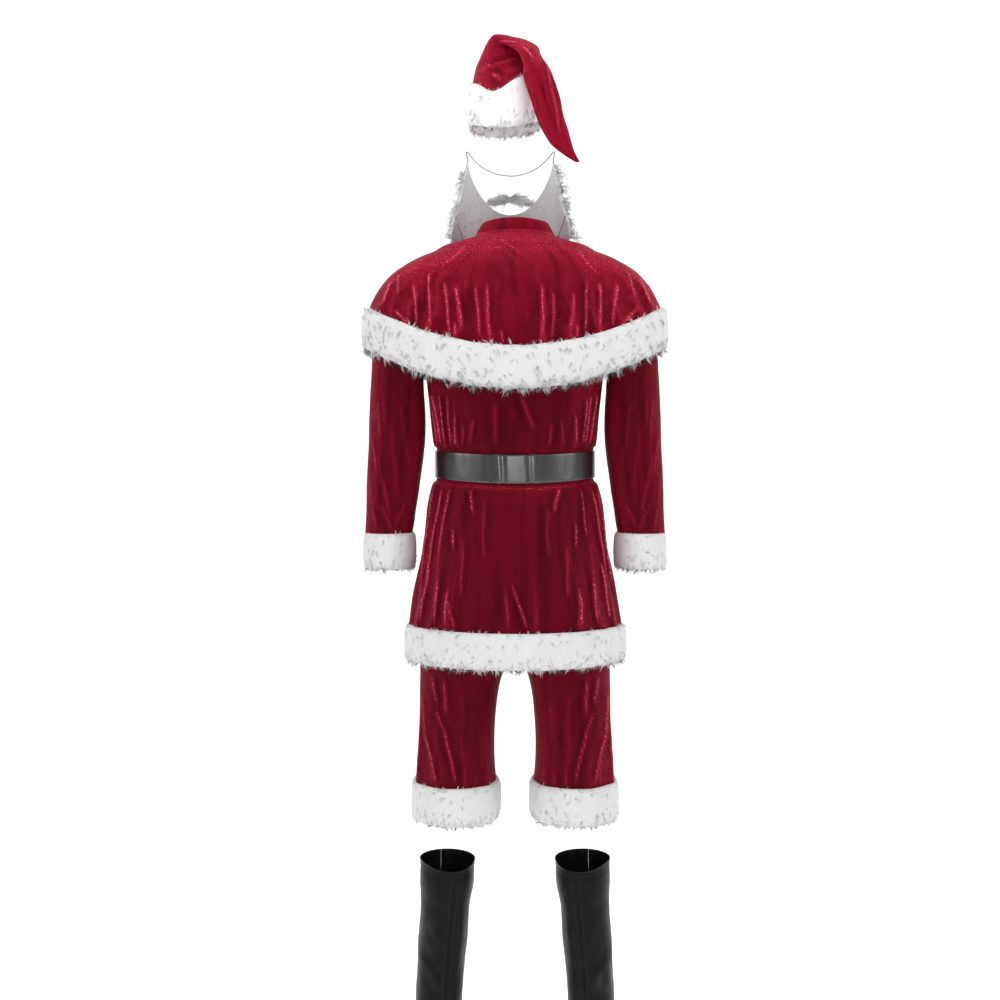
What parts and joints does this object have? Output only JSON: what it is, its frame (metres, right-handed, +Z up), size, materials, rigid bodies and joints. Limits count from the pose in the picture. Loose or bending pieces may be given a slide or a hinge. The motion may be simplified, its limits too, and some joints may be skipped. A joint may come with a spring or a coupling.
{
  "type": "santa suit",
  "caption": "Red velvet costume suit with white fur trims: folded hat, beard, shoulder cape, belted tunic, knee trousers and black boot covers, worn form",
  "frame": {"origin": "on the body's axis at the base of the neck, where the wearer's shoulders carry the suit", "axes": "+Z up, +Y the back of the wearer, +X the wearer's left"},
  "size_m": [0.5734, 0.3522, 1.9251],
  "materials": {
    "velvet": "crushed velvet",
    "fur": "long pile",
    "beard_hair": "curly fibre",
    "beard_cloth": "plain backing",
    "elastic": "round elastic",
    "faux_leather": "semi-gloss",
    "buckle": "polished"
  },
  "bodies": {
    "root": {"hat_back": "velvet", "hat_front": "velvet", "cape_back": "velvet", "cape_front_left": "velvet", "cape_front_right": "velvet", "cape_collar": "velvet", "tunic_back_left": "velvet", "tunic_back_right": "velvet", "tunic_front_left": "velvet", "tunic_front_right": "velvet", "sleeve_left": "velvet", "sleeve_right": "velvet", "trouser_back_left": "velvet", "trouser_back_right": "velvet", "trouser_front_left": "velvet", "trouser_front_right": "velvet", "trouser_waistband": "velvet", "hat_fur_band": "fur", "cape_fur": "fur", "tunic_hem_fur": "fur", "wrist_fur_left": "fur", "wrist_fur_right": "fur", "knee_fur_left": "fur", "knee_fur_right": "fur", "beard_hair": "beard_hair", "beard_moustache": "beard_hair", "beard_backing": "beard_cloth", "beard_elastic": "elastic", "belt_strap": "faux_leather", "boot_inner_left": "faux_leather", "boot_inner_right": "faux_leather", "boot_outer_left": "faux_leather", "boot_outer_right": "faux_leather", "belt_buckle_frame": "buckle", "belt_buckle_prong": "buckle"}
  },
  "joints": []
}
